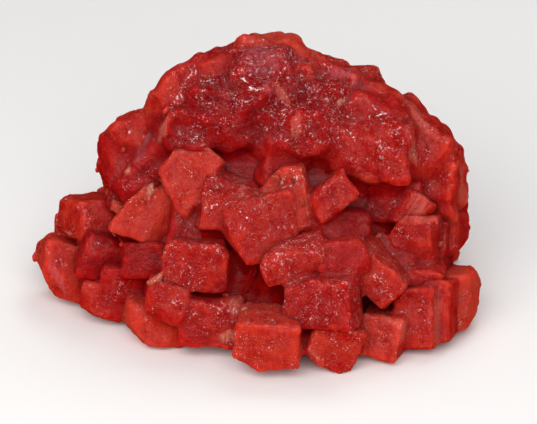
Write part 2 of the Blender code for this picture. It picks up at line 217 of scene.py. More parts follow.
CROWN = (
    Cube(-35.2, 44.6, 7, 10, 9, 12, 6, 4, -24, ((300, 2), (200, 1)), 0.6, 0.3),
    Cube(-36.8, 35.8, 1, 12.5, 13.5, 13, 4, 6, 2, ((124, 5), (253, 2.2), (330, 1.5)), 0.36, 0.15),
    Cube(-33, 29, -7, 11, 10, 12, 0, 10, -35, (), 0.3, 0.35),
    Cube(-25.6, 37, -4, 11.5, 14, 15, 0, 8, 38, ((300, 2), (200, 2)), 0.22, 0.35),
    Cube(-17.2, 45, -7, 18, 12, 14, 10, 12, -4, ((310, 2.5), (230, 2.5)), 0.14, 0.55),
    Cube(-7, 46.5, -6, 12, 13, 14, 4, 0, 8, (), 0.2, 0.5),
    Cube(-7, 37, 1, 17, 14, 14, 0, 0, 0, (), 0.02, 0.2),
    Cube(6.4, 36.7, -11, 12.6, 13, 13, 16, 18, 4, ((45, 2.5), (315, 2)), 0.38, 0.35, plain=True),
    Cube(-20.3, 54.6, 1, 18, 12.5, 17, 4, 16, -38, ((270, 2), (325, 1.5)), 0.62, 0.35),
    Cube(-9, 60.7, 5, 14, 11, 15, 10, 6, -28, ((300, 2), (20, 1)), 0.5, 0.4),
    Cube(-4.1, 51.4, -5, 28, 16, 18, 22, 0, -3, ((235, 4), (140, 3), (315, 2.5)), 0.12, 0.85),
    Cube(1.5, 60.5, 1, 17, 12, 18, 14, 0, -6, (), 0.22, 1),
    Cube(4, 66.3, 10, 18, 8.5, 15, 4, 0, 1, ((107, 1.5), (320, 1.5)), 1.0, 0.4),
    Cube(9.5, 58.5, 3, 10, 10, 14, 8, 0, 10, (), 0.55, 0.7),
    Cube(14.6, 62.5, 8, 9, 9, 13, 6, 0, 16, ((20, 1.5), (330, 1.5)), 0.62, 0.4),
    Cube(21.7, 57.4, 6, 13, 11, 15, 8, -8, 28, ((50, 2), (340, 2)), 0.55, 0.4),
    Cube(17, 51, -3, 14, 14, 16, 16, -6, 8, ((315, 2), (45, 2)), 0.2, 0.85),
    Cube(15, 44, -8, 15, 13, 15, 6, -6, 0, ((140, 3), (225, 2)), 0.34, 0.8),
    Cube(31, 52.8, 5, 13, 12, 15, 6, -16, 28, ((20, 2), (60, 2)), 0.58, 0.3),
    Cube(32.5, 46.5, -4, 18, 13, 17, 8, -6, 12, ((45, 2), (315, 2)), 0.44, 0.35),
    Cube(44.3, 43.3, 3, 23, 13, 19, 10, -10, 43, ((350, 2), (60, 2)), 0.6, 0.3),
    Cube(31.5, 38.7, -9, 24, 16.5, 18, 8, -6, 4, ((225, 3), (315, 2), (130, 2)), 0.48, 0.6),
    Cube(21, 35.5, -7, 13, 12, 15, 4, 0, 0, (), 0.42, 0.6),
    Cube(48.8, 30.2, -3, 17, 18, 18, 6, -20, 8, ((48, 4.5), (124, 3)), 0.55, 0.35),
    Cube(36, 30.5, -7, 18, 11, 16, 0, 0, 4, (), 0.24, 0.3),
)

COURSE_ROWS = {"foot": FOOT, "waist": WAIST, "chest": CHEST, "crown": CROWN}
SHOWING = FOOT + WAIST + CHEST + CROWN

# Small scraps that lie on the cubes. Their middle is put where the viewer's line of sight
# meets the heap, so their back is 0.
SCRAPS = (
    Cube(-38.4, 23.2, 0, 4.8, 3.8, 3.2, 20, 0, 30, (), 0.9, 0.2),
    Cube(-39.5, 15.1, 0, 1.7, 2.4, 1.8, 0, 0, 15, (), 1, 0.1),
    Cube(-37.8, 14, 0, 1.5, 1.6, 1.6, 0, 0, 60, (), 1, 0.1),
    Cube(-27.4, 3.6, 0, 1.9, 6.6, 1.8, 10, 0, 52, (), 0.9, 0.6),
    Cube(-61, 9.2, 0, 3.4, 3.8, 3.4, 0, 0, 20, (), 0.6, 0.2),
    Cube(-29.1, 28, 0, 2.2, 3.4, 1.8, 0, 0, 20, (), 1, 0.3),
    Cube(-31.4, 25, 0, 1.6, 2, 1.6, 0, 0, 50, (), 0.8, 0.3),
    Cube(23.2, 51.8, 0, 1.3, 3, 1.4, 0, 0, 65, (), 1, 0.4),
    Cube(-8.4, -1, 0, 2.6, 2, 1.8, 0, 0, 40, (), 0.9, 0.7),
    Cube(-3.4, -4.2, 0, 2, 1.6, 1.6, 0, 0, 10, (), 1, 0.7),
    Cube(43.6, 38.2, 0, 4.6, 1.8, 2, 0, 0, -15, (), 0.8, 0.3),
    Cube(50.2, 13, 0, 2, 3.6, 2, 0, 0, 70, (), 0.9, 0.3),
    Cube(5.6, 31.6, 0, 2.6, 2, 1.8, 0, 0, 30, (), 0.9, 0.5),
)
FIRST_SCRAP = 200
SCRAP_LUMPS = (0.8, 1.15)

# Crumbs lie where a ray from any side meets the heap, on its way to a point in this box
CRUMBS = 60
CRUMB_AIM = ((-45, 50), (-10, 10), (5, 65))
CRUMB_SIZE = (1.0, 3.0)
CRUMB_THICKNESS = 0.9
CRUMB_TONE = (0.4, 1.0)
CRUMB_WET = 0.4
LOWEST_CRUMB = 2

# Fat, sinew and silvery skin on single pieces; the violet of the silvery skin is a painted sheen.
# The numbers count the cubes of SHOWING, and go on at FIRST_SCRAP.
FAT = (
    Mark(5, -7.8, -11.6, 1.8, 3, 0),
    Mark(13, -52.4, 15.7, 1.6, 0.6, 95),
    Mark(28, -29, 27.8, 1.9, 0.8, 15),
    Mark(41, -35.4, 33.4, 1.6, 1.2, 0),
    Mark(55, 23, 51.8, 1.4, 0.7, 60),
    Mark(FIRST_SCRAP + 1, -39.5, 15.1, 2, 2, 0),
    Mark(FIRST_SCRAP + 5, -29.1, 28, 2.4, 2.4, 0),
    Mark(FIRST_SCRAP + 7, 23.2, 51.8, 2.4, 2.4, 0),
    Mark(FIRST_SCRAP + 9, -3.4, -4.2, 1.6, 1.6, 0),
)
SINEW = (
    Mark(6, -6.2, -3.4, 2.8, 1.8, 10),
    Mark(8, 16, -17.6, 3, 0.6, 138),
    Mark(8, 23.5, -10.1, 3.4, 0.6, 112),
    Mark(9, 37.2, -8, 5, 0.8, 124),
    Mark(9, 40.2, -10.6, 2.6, 1, 10),
    Mark(10, 49.6, -7.6, 7.5, 0.6, 3),
    Mark(11, 50, -7.6, 7.5, 0.6, 3),
    Mark(24, 45, 20, 4.2, 1.4, 82),
    # This one lightens the bevelled band along the lower right side of its cube: a painted highlight on the
    # bevel
    Mark(29, -12.6, 26.2, 8, 1.1, 41),
    Mark(31, -2.8, 31.2, 2.4, 0.9, 75),
    Mark(31, -4.2, 27.8, 2.6, 0.9, 10),
    Mark(37, 44, 24.6, 3.2, 2.4, 30),
    Mark(43, -25, 45.1, 4.2, 1, 18),
    Mark(49, 6.2, 53.8, 3.6, 1, -29),
    Mark(56, 10.8, 44.8, 3, 1, 5),
    Mark(59, 43.2, 49.6, 7, 0.7, 133),
    Mark(59, 45.4, 46.2, 6, 0.6, 133),
    Mark(60, 43.4, 38.6, 3.6, 1.1, 0),
    Mark(62, 57.6, 29.4, 5.6, 1.4, 0),
    Mark(FIRST_SCRAP, -38.4, 23.2, 4, 4, 0),
    Mark(FIRST_SCRAP + 3, -27.4, 3.6, 5, 5, 0),
)
SILVER_SHEEN = (
    Mark(0, -55.2, 3.6, 4.2, 1.1, -30),
    Mark(42, -31.4, 39.5, 5, 1.2, 20),
    Mark(49, 2.8, 56, 2.2, 0.9, -15),
    Mark(50, 1.7, 63.3, 4, 5.2, 0),
    Mark(54, 23.2, 59.9, 4, 1.7, 100),
    Mark(54, 27.7, 56.6, 4.2, 1.7, -23),
    Mark(57, 27.7, 56.6, 4.2, 1.7, -23),
)
MARKS = {"fat": FAT, "sinew": SINEW, "silver": SILVER_SHEEN}
MARK_FADE = 1.6
MARK_FACING = 0.05

# Relief of the skin, in layers of noise: the size of the lumps in mm, their strength, and
# how far the noise is shifted so that no two layers are alike
BENDS = ((14.0, 1.0, 0), (5.0, 0.5, 200))
SWELLS = ((8.0, 1.0, 40), (4.0, 0.6, 300))
RIPPLES = ((2.6, 1.0, 50),)
GRITS = ((1.1, 0.10, 130),)
TEARS = ((1.7, 1.0, 90), (0.8, 0.5, 110), (3.4, 0.4, 70))

# Rounds of blurring. Those for the tone and the softening grow with the seam that is filled.
NICK_SPREAD = 2
RIM_SPREAD = 5
RIM_CONTRAST = 5
SHELTER_SPREAD = 8
TONE_MIXING = 4
SOFTENING = 0.7

# A point is sheltered by what lies on this many rays from just above it, in mm, and a hit
# at the end of a ray counts this much less than one at its start
SKY_RAYS = 10
RAY_START = 0.9
RAY_FADE = 0.6


def seat(cube):
    """The middle of a showing cube, in mm: its height follows from where it is seen."""
    height = (cube.up - cube.back * math.sin(LOOK_DOWN)) / math.cos(LOOK_DOWN)
    return Vector((cube.across, cube.back, height))


def turn(cube):
    """How a showing cube is turned, to someone looking along its line of sight."""
    tip, swing, roll = (math.radians(a) for a in (cube.tip, cube.swing, cube.roll))
    return (
        Matrix.Rotation(roll, 4, "Y")
        @ Matrix.Rotation(swing, 4, "Z")
        @ Matrix.Rotation(tip, 4, "X")
    )


def cut_at(shape, point, outwards):
    """Takes off all that lies outside a plane, and closes the cut."""
    bmesh.ops.bisect_plane(
        shape,
        geom=shape.verts[:] + shape.edges[:] + shape.faces[:],
        dist=0.001,
        plane_co=point,
        plane_no=outwards,
        clear_outer=True,
    )
    rim = [edge for edge in shape.edges if edge.is_boundary]
    bmesh.ops.holes_fill(shape, edges=rim, sides=0)


def slice_off(shape, outwards, depth):
    reach = max(corner.co.dot(outwards) for corner in shape.verts)
    cut_at(shape, outwards * (reach - depth), outwards)


def rough_cube(wide, deep, tall, rng):
    """A cube whose corners are a little out of square."""
    block = bmesh.new()
    bmesh.ops.create_cube(block, size=1.0)
    for corner in block.verts:
        for axis, edge in enumerate((wide, deep, tall)):
            corner.co[axis] *= edge * rng.uniform(*OUT_OF_SQUARE)
    return block


def slice_at_random(block, slices, thinnest, rng):
    for _ in range(slices):
        slant = Vector([rng.choice((-1, 1)) * rng.uniform(*SLICE_SLANT) for _ in range(3)])
        slice_off(block, slant.normalized(), thinnest * rng.uniform(*SLICE_DEPTH))


def slant_the_front(block, thinnest, rng):
    """Slices off parts of a turned block that face the viewer, its outline left as it is."""
    for _ in range(FACETS):
        bearing = rng.uniform(0, math.tau)
        lean = rng.uniform(*FACET_LEAN)
        towards = -math.sqrt(1 - lean * lean)
        outwards = Vector((lean * math.sin(bearing), towards, lean * math.cos(bearing)))
        slice_off(block, outwards, thinnest * rng.uniform(*FACET_DEPTH))


def round_edges(block):
    bmesh.ops.remove_doubles(block, verts=block.verts, dist=SHORTEST_EDGE)
    bmesh.ops.bevel(
        block,
        geom=block.edges[:],
        offset=EDGE_ROUNDING,
        segments=3,
        profile=0.5,
        affect="EDGES",
        clamp_overlap=True,
        material=-1,
    )
    bmesh.ops.remove_doubles(block, verts=block.verts, dist=MERGED_WITHIN)
    return skin_over(block)


def skin_over(block):
    """The smallest bulging solid round a block's corners, so that it is closed and simple."""
    skinned = bmesh.new()
    for corner in block.verts:
        skinned.verts.new(corner.co)
    block.free()
    bmesh.ops.convex_hull(skinned, input=skinned.verts[:], use_existing_faces=False)
    inside = [corner for corner in skinned.verts if not corner.link_faces]
    bmesh.ops.delete(skinned, geom=inside, context="VERTS")
    return skinned


class Block(NamedTuple):
    """A cut piece before it gets its skin."""

    number: int
    shape: bmesh.types.BMesh
    place: Matrix
    tone: float
    wet: float


def showing_block(cube, number):
    """A showing cube in its place, in mm."""
    rng = random.Random(SHOWING_SEED + number)
    block = rough_cube(cube.wide, cube.deep, cube.tall, rng)
    bmesh.ops.transform(block, matrix=turn(cube), verts=block.verts)
    for side, depth in cube.cuts:
        outwards = Vector((math.sin(math.radians(side)), 0, math.cos(math.radians(side))))
        slice_off(block, outwards, depth)
    thinnest = min(cube.wide, cube.deep, cube.tall)
    if not cube.cuts:
        slice_at_random(block, 2, thinnest, rng)
    if not cube.plain:
        slant_the_front(block, thinnest, rng)
    block = round_edges(block)
    nearer = Matrix.Translation((0, rng.uniform(-LOOSENESS, LOOSENESS), 0))
    place = Matrix.Translation(seat(cube)) @ Matrix.Rotation(-LOOK_DOWN, 4, "X") @ nearer
    bmesh.ops.transform(block, matrix=place, verts=block.verts)
    cut_at(block, Vector((0, 0, 0)), Vector((0, 0, -1)))
    return Block(number, block, place @ turn(cube), cube.tone, cube.wet)


def hidden_block(point, edge, number):
    """A cube of the sides or back in its place, in mm."""
    rng = random.Random(HIDDEN_SEED + number)
    block = rough_cube(*(edge * rng.uniform(*HIDDEN_SIZE) for _ in range(3)), rng)
    slice_at_random(block, 1, edge, rng)
    block = round_edges(block)
    place = (
        Matrix.Translation(point)
        @ Matrix.Rotation(rng.uniform(0, math.tau), 4, "Z")
        @ Matrix.Rotation(rng.gauss(0, HIDDEN_TILT), 4, "X")
        @ Matrix.Rotation(rng.gauss(0, HIDDEN_TILT), 4, "Y")
    )
    bmesh.ops.transform(block, matrix=place, verts=block.verts)
    cut_at(block, Vector((0, 0, 0)), Vector((0, 0, -1)))
    tone = rng.uniform(*HIDDEN_TONE)
    return Block(len(SHOWING) + number, block, place, tone, rng.uniform(*HIDDEN_WET))


def girth_at(height):
    """The outline of the heap at a height, read between the two nearest girths."""
    for low, high in zip(GIRTHS, GIRTHS[1:]):
        if height <= high.height:
            break
    share = (height - low.height) / (high.height - low.height)
    return Girth(*(a + (b - a) * share for a, b in zip(low, high)))


def round_the_heap(height, inset, bearing):
    """The point this far inside the outline, on a bearing taken from +X towards +Y."""
    girth = girth_at(height)
    half_wide = max(1, (girth.right - girth.left) / 2 - inset)
    half_deep = max(1, (girth.rear - girth.front) / 2 - inset)
    middle = Vector(((girth.left + girth.right) / 2, (girth.front + girth.rear) / 2, height))
    return middle + Vector((half_wide * math.cos(bearing), half_deep * math.sin(bearing), 0))


def core_block():
    """The middle of the heap: rings bridged from the bottom to the top."""
    shape = bmesh.new()
    for girth in GIRTHS:
        ring = bmesh.ops.create_circle(shape, segments=CORE_SIDES, radius=1, cap_ends=False)
        for side, corner in enumerate(ring["verts"]):
            bearing = math.tau * side / CORE_SIDES
            corner.co = round_the_heap(girth.height, CORE_INSET, bearing)
    bmesh.ops.bridge_loops(shape, edges=shape.edges[:])
    rims = [edge for edge in shape.edges if edge.is_boundary]
    bmesh.ops.holes_fill(shape, edges=rims, sides=0)
    bmesh.ops.recalc_face_normals(shape, faces=shape.faces)
    return Block(-1, shape, Matrix.Identity(4), CORE_SHADE_TONE, 0.0)


def inside_the_view(across, up):
    """Whether this spot lies within the outline of the showing cubes, seen from the front."""
    level = [cube for cube in SHOWING if abs(cube.up - up) < cube.tall / 2]
    over = [cube for cube in SHOWING if abs(cube.across - across) < cube.wide / 2]
    return (
        any(cube.across - cube.wide / 2 < across for cube in level)
        and any(cube.across + cube.wide / 2 > across for cube in level)
        and any(cube.up + cube.tall / 2 > up for cube in over)
    )


def stands_out(point, edge):
    """Whether a hidden piece here would show past the outline of the showing cubes."""
    up = point.y * math.sin(LOOK_DOWN) + point.z * math.cos(LOOK_DOWN)
    reach = edge * HIDDEN_REACH
    bearings = [math.tau * step / 8 for step in range(8)]
    spots = [(point.x + reach * math.cos(b), up + reach * math.sin(b)) for b in bearings]
    return not all(inside_the_view(*spot) for spot in spots)


def hidden_seats():
    """Where the cubes of the sides and back lie: rings round the heap, clear of the rest."""
    rng = random.Random(HIDDEN_SEED)
    taken = [seat(cube) for cube in SHOWING]
    seats = []
    for height, edge in COURSES:
        girth = girth_at(height)
        around = math.pi * (girth.right - girth.left + girth.rear - girth.front) / 2
        count = round(around / (edge * HIDDEN_PITCH))
        for step in range(count):
            bearing = math.tau * (step + rng.uniform(*HIDDEN_STEP)) / count
            inset = HIDDEN_INSET
            point = round_the_heap(height, inset, bearing)
            while stands_out(point, edge) and inset < 3 * HIDDEN_INSET:
                inset += 1
                point = round_the_heap(height - (inset - HIDDEN_INSET) / 2, inset, bearing)
            if stands_out(point, edge) or point.y < girth.front * CLEAR_FRONT:
                continue
            if min((point - other).length for other in taken) < ELBOW_ROOM:
                continue
            taken.append(point)
            seats.append((point, edge))
    return seats


@functools.cache
def all_blocks():
    """Every block of the heap by course, before its skin."""
    courses = {}
    number = 0
    for name, cubes in COURSE_ROWS.items():
        courses[name] = []
        for cube in cubes:
            courses[name].append(showing_block(cube, number))
            number += 1
    seats = enumerate(hidden_seats())
    courses["hidden"] = [hidden_block(point, edge, number) for number, (point, edge) in seats]
    courses["core"] = [core_block()]
    return courses


def joined(blocks):
    """Several blocks as one mesh in mm, and which block each of its faces came from."""
    shape = bmesh.new()
    owners = []
    for block in blocks:
        mesh = bpy.data.meshes.new("block")
        block.shape.to_mesh(mesh)
        shape.from_mesh(mesh)
        bpy.data.meshes.remove(mesh)
        owners += [block.number] * (len(shape.faces) - len(owners))
    return shape, owners


@functools.cache
def whole_heap():
    """What a ray hits anywhere in the heap."""
    shape, _ = joined([block for course in all_blocks().values() for block in course])
    tree = BVHTree.FromBMesh(shape)
    shape.free()
    return tree


def landing(point, sight):
    """Where a line of sight through a point first meets the heap, and which way that faces."""
    hit, normal, _, _ = whole_heap().ray_cast(point - sight * FAR, sight)
    return hit, normal


def scrap_block(spot, sizes, turned, number, tone, wet):
    """A lumpy scrap with its middle at a spot."""
    rng = random.Random(SHOWING_SEED + number)
    block = bmesh.new()
    bmesh.ops.create_icosphere(block, subdivisions=2, radius=0.5)
    for corner in block.verts:
        corner.co *= rng.uniform(*SCRAP_LUMPS)
    place = Matrix.Translation(spot) @ turned
    bmesh.ops.scale(block, vec=sizes, verts=block.verts)
    bmesh.ops.transform(block, matrix=place, verts=block.verts)
    return Block(number, block, place, tone, wet)


def scrap_blocks():
    """The scraps seen in front, and crumbs on every side of the heap."""
    sight = -Vector(TO_VIEWER)
    blocks = []
    for number, scrap in enumerate(SCRAPS, FIRST_SCRAP):
        spot = landing(seat(scrap), sight)[0] or seat(scrap)
        turned = Matrix.Rotation(-LOOK_DOWN, 4, "X") @ turn(scrap)
        sizes = (scrap.wide, scrap.deep, scrap.tall)
        blocks.append(scrap_block(spot, sizes, turned, number, scrap.tone, scrap.wet))
    rng = random.Random(HIDDEN_SEED)
    first_crumb = FIRST_SCRAP + len(SCRAPS)
    for number in range(first_crumb, first_crumb + CRUMBS):
        aim = Vector([rng.uniform(*reach) for reach in CRUMB_AIM])
        around = Matrix.Rotation(rng.uniform(0, math.tau), 4, "Z")
        spot, normal = landing(aim, around @ sight)
        if spot is None or spot.z < LOWEST_CRUMB:
            continue
        sizes = (rng.uniform(*CRUMB_SIZE), rng.uniform(*CRUMB_SIZE), CRUMB_THICKNESS)
        turned = normal.to_track_quat("Z", "Y").to_matrix().to_4x4()
        turned = turned @ Matrix.Rotation(rng.uniform(0, math.tau), 4, "Z")
        tone = rng.uniform(*CRUMB_TONE)
        blocks.append(scrap_block(spot, sizes, turned, number, tone, CRUMB_WET))
    return blocks


def placed(name, data):
    """A new object in the scene, at the origin."""
    made = bpy.data.objects.new(name, data)
    bpy.context.scene.collection.objects.link(made)
    return made


def with_modifier_applied(mesh, kind, **settings):
    """A mesh after one modifier."""
    carrier = placed("carrier", mesh)
    modifier = carrier.modifiers.new(kind.lower(), kind)
    for name, value in settings.items():
        setattr(modifier, name, value)
    graph = bpy.context.evaluated_depsgraph_get()
    result = bpy.data.meshes.new_from_object(carrier.evaluated_get(graph))
    bpy.data.objects.remove(carrier)
    bpy.data.meshes.remove(mesh)
    return result


def read(mesh, name):
    values = np.empty(len(mesh.vertices) * 3)
    mesh.vertices.foreach_get(name, values)
    return values.reshape(-1, 3)


def lumps(points, size):
    """Smooth noise from -1 to 1 at each point, with bumps about this far apart in mm."""
    return np.array([noise.noise(point) for point in (points / size).tolist()])


def layered(points, layers):
    """Layers of noise laid over each other at each point."""
    return sum(strength * lumps(points + shift, size) for size, strength, shift in layers)


def warp(points, bend):
    """Points moved about by slow noise, so that no cut stays straight."""
    ways = [layered(points + 70 * axis, BENDS) for axis in range(3)]
    return points + bend * np.stack(ways, axis=1)


def ends_of_edges(mesh):
    ends = np.empty(len(mesh.edges) * 2, dtype=int)
    mesh.edges.foreach_get("vertices", ends)
    return ends.reshape(-1, 2).T


def mean_over_edges(first, second, to_first, to_second, count):
    """What the edges at each point bring to it, on average."""
    edges = np.bincount(first, minlength=count) + np.bincount(second, minlength=count)
    total = np.bincount(first, to_first, count) + np.bincount(second, to_second, count)
    return total / np.maximum(edges, 1)


def blurred(mesh, values, rounds):
    """Values on a mesh's points, each mixed with its neighbours' a few times."""
    first, second = ends_of_edges(mesh)
    for _ in range(rounds):
        around = mean_over_edges(first, second, values[second], values[first], len(values))
        values = 0.5 * values + 0.5 * around
    return values


def convexity(mesh, spread):
    """How much each point stands out from its neighbours: 1 on an edge, -1 in a crease."""
    points, normals = read(mesh, "co"), read(mesh, "normal")
    first, second = ends_of_edges(mesh)
    way = points[second] - points[first]
    way /= np.maximum(np.linalg.norm(way, axis=1, keepdims=True), 1e-9)
    to_first = -(way * normals[first]).sum(axis=1)
    to_second = (way * normals[second]).sum(axis=1)
    bend = mean_over_edges(first, second, to_first, to_second, len(points))
    return np.clip(RIM_CONTRAST * blurred(mesh, bend, spread), -1, 1)


def sky_bearings():
    """Directions spread evenly over the upper half of a sphere round +Z."""
    golden = math.pi * (3 - math.sqrt(5))
    ways = []
    for step in range(SKY_RAYS):
        height = 1 - (step + 0.5) / SKY_RAYS * 0.95
        flat = math.sqrt(1 - height * height)
        ways.append(Vector((flat * math.cos(golden * step), flat * math.sin(golden * step), height)))
    return ways


def shelter(points, normals, reach):
    """How much of the space in front of each point the rest of the heap takes up."""
    tree = whole_heap()
    ways = sky_bearings()
    shut = np.zeros(len(points))
    up = Vector((0, 0, 1))
    for number, (point, normal) in enumerate(zip(points.tolist(), normals.tolist())):
        normal = Vector(normal)
        start = Vector(point) + normal * RAY_START
        swing = up.rotation_difference(normal)
        for way in ways:
            hit, _, _, distance = tree.ray_cast(start, swing @ way, reach)
            if hit is not None:
                shut[number] += 1 - RAY_FADE * distance / reach
    return shut / len(ways)


def mark_strengths(kind, points, normals, owners):
    """How strongly each point carries this kind of mark, from 0 to 1."""
    strength = np.zeros(len(points))
    across, up = points[:, 0], points @ np.array(UP_IN_VIEW)
    facing = normals @ np.array(TO_VIEWER) > MARK_FACING
    for mark in MARKS[kind]:
        turned = math.radians(mark.turned)
        right, above = across - mark.across, up - mark.up
        along = (right * math.sin(turned) + above * math.cos(turned)) / mark.half_long
        beside = (right * math.cos(turned) - above * math.sin(turned)) / mark.half_wide
        inside = np.clip(MARK_FADE - np.hypot(along, beside), 0, 1)
        strength = np.maximum(strength, inside * facing * (owners == mark.cube))
    return strength


def put_attribute(mesh, name, values):
    kind = "FLOAT" if values.ndim == 1 else "FLOAT_VECTOR"
    attribute = mesh.attributes.new(name, kind, "POINT")
    attribute.data.foreach_set("value" if values.ndim == 1 else "vector", values.ravel())


def own_grain(points, owners, blocks):
    """Each point as its own cube sees it, so that the grain of every cube runs its own way."""
    grain = points.copy()
    for block in blocks:
        mine = owners == block.number
        back = np.array(block.place.inverted())
        grain[mine] = points[mine] @ back[:3, :3].T + back[:3, 3] + 31.0 * (block.number % 17 + 1)
    return grain


def fused_skin(mesh, voxel, seam):
    """The skin round pieces pressed together: seams up to twice this wide in mm are filled.

    The wider the seams that it fills, the softer it comes out.
    """
    for depth in (seam, -seam):
        mesh = with_modifier_applied(mesh, "REMESH", mode="VOXEL", voxel_size=voxel, adaptivity=0.0)
        mesh = with_modifier_applied(mesh, "DISPLACE", strength=depth, mid_level=0.0)
    mesh = with_modifier_applied(mesh, "REMESH", mode="VOXEL", voxel_size=voxel, adaptivity=0.0)
    softening = 1 + round(SOFTENING * (seam / voxel) ** 2)
    return with_modifier_applied(mesh, "SMOOTH", factor=0.5, iterations=softening)


def move_points(mesh, points):
    mesh.vertices.foreach_set("co", points.ravel())
    mesh.update()


def carved(mesh, look, voxel, swell):
    """Where a skin's points go: cuts bend, faces swell, edges are nicked, none sinks below 0.

    A skin on a coarser grid gets shallower nicks, because it can't hold fine ones.
    """
    points, normals = read(mesh, "co"), read(mesh, "normal")
    edges = np.clip(convexity(mesh, NICK_SPREAD), 0, 1)
    relief = swell * layered(points, SWELLS) + look.ripple / MM * layered(points, RIPPLES)
    finest = min(1, look.fine_voxel / MM / voxel)
    nicks = look.nick / MM * edges * layered(points, TEARS) * finest**2
    moved = warp(points, look.bend / MM)
    moved += normals * (relief + nicks + layered(points, GRITS))[:, None]
    moved[:, 2] = np.maximum(moved[:, 2], 0)
    return moved


def put_looks(mesh, blocks, owners, mixing):
    """Gives a skin the tone and wetness of its pieces, mixed over the seams between them."""
    by_number = {block.number: block for block in blocks}
    tones = np.array([by_number[owner].tone for owner in owners.tolist()])
    wets = np.array([by_number[owner].wet for owner in owners.tolist()])
    put_attribute(mesh, "tone", blurred(mesh, tones, mixing))
    # Faces turned down are less wet: less gloss there, and fewer painted glints, which so keep to the tops
    # that face the lamps
    facing_up = np.clip(0.65 + 0.5 * read(mesh, "normal")[:, 2], 0, 1)
    put_attribute(mesh, "wet", (0.15 + 0.9 * blurred(mesh, wets, mixing)) * facing_up)
    # How far each point stands out as an edge, where the colour is made lighter: a painted glow of light
    # through thin flesh
    put_attribute(mesh, "rim", convexity(mesh, RIM_SPREAD))


def flesh_skin(blocks, look, voxel, seam, swell):
    """The wet skin round some blocks, as a mesh in metres with what the shader needs."""
    shape, face_owners = joined(blocks)
    tree = BVHTree.FromBMesh(shape)
    mesh = bpy.data.meshes.new("flesh")
    shape.to_mesh(mesh)
    shape.free()
    mesh = fused_skin(mesh, voxel, seam)
    points = read(mesh, "co")
    nearest = [tree.find_nearest(point)[2] for point in points.tolist()]
    owners = np.array(face_owners)[nearest]
    # How closed in each point is: the colour is darkened by it, painted shade, and glints are kept out of
    # the gaps
    shut_in = shelter(points, read(mesh, "normal"), look.shelter_reach / MM)
    shut_in = blurred(mesh, shut_in, SHELTER_SPREAD)
    moved = carved(mesh, look, voxel, swell)
    move_points(mesh, moved)
    put_attribute(mesh, "grain", own_grain(points, owners, blocks))
    put_looks(mesh, blocks, owners, round(TONE_MIXING * seam / voxel))
    put_attribute(mesh, "shelter", shut_in)
    for kind in MARKS:
        strengths = mark_strengths(kind, points, read(mesh, "normal"), owners)
        put_attribute(mesh, kind, strengths)
    mesh.polygons.foreach_set("use_smooth", np.ones(len(mesh.polygons), dtype=bool))
    move_points(mesh, moved * MM)
    return mesh


# Size in mm of each pattern in the colour and the grain of the flesh. CLUSTER_SIZE, UNEVEN_SIZE
# and GLINT_SIZE size the painted glints.
CLOUD_SIZE = 5.0
PATCH_SIZE = 4.5
CLUSTER_SIZE = 2.0
MOTTLE_SIZE = 1.3
BUMP_SIZE = 1.1
FIBRE_SIZE = 0.9
FRAY_SIZE = 0.9
UNEVEN_SIZE = 0.9
FLECK_SIZE = 0.55
GRAIN_SIZE = 0.42
GLINT_SIZE = 0.40
FIBRE_STRETCH = 0.12

# The colours of the flesh that the look gives, as the colour group's sockets are called. The
# colour for the gaps is painted shade.
FLESH_COLOURS = ("Deep", "Middle", "Light", "Gap", "Fat Colour", "Sinew Colour", "Silver Colour")


def feed(tree, node, inputs):
    """Gives each of these inputs of a node a number or a colour, or links a socket to it."""
    for label, value in inputs.items():
        if isinstance(value, bpy.types.NodeSocket):
            tree.links.new(value, node.inputs[label])
        else:
            node.inputs[label].default_value = value


def add_node(tree, kind, inputs=None, **settings):
    node = tree.nodes.new("ShaderNode" + kind)
    for name, value in settings.items():
        setattr(node, name, value)
    feed(tree, node, inputs or {})
    return node


def group_tree(name, inputs, outputs):
    """An empty shader node group, with the sockets of each kind, and its two inside ends."""
    tree = bpy.data.node_groups.new(name, "ShaderNodeTree")
    for way, sockets in (("INPUT", inputs), ("OUTPUT", outputs)):
        for kind, labels in sockets.items():
            for label in labels:
                tree.interface.new_socket(label, in_out=way, socket_type="NodeSocket" + kind)
    return tree, tree.nodes.new("NodeGroupInput").outputs, tree.nodes.new("NodeGroupOutput").inputs


def noise_at(tree, vector, size, detail=2.0, roughness=0.5, distortion=0.0):
    """Noise on a vector that counts in mm, with features about this size in mm."""
    inputs = {"Vector": vector, "Scale": 1.0 / size, "Detail": detail}
    inputs |= {"Roughness": roughness, "Distortion": distortion}
    return add_node(tree, "TexNoise", inputs).outputs["Fac"]


def maths(tree, operation, *values):
    inputs = dict(enumerate(values))
    return add_node(tree, "Math", inputs, operation=operation).outputs[0]


def stretched(tree, value, low, high, to_low=0.0, to_high=1.0):
    """A value brought from one range to another, and kept inside it."""
    inputs = {"Value": value, "From Min": low, "From Max": high, "To Min": to_low, "To Max": to_high}
    return add_node(tree, "MapRange", inputs).outputs["Result"]


def blended(tree, amount, first, second):
    """Two colours mixed by an amount. Sockets 6, 7 and 2 are the ones for colours."""
    inputs = {0: amount, 6: first, 7: second}
    return add_node(tree, "Mix", inputs, data_type="RGBA").outputs[2]


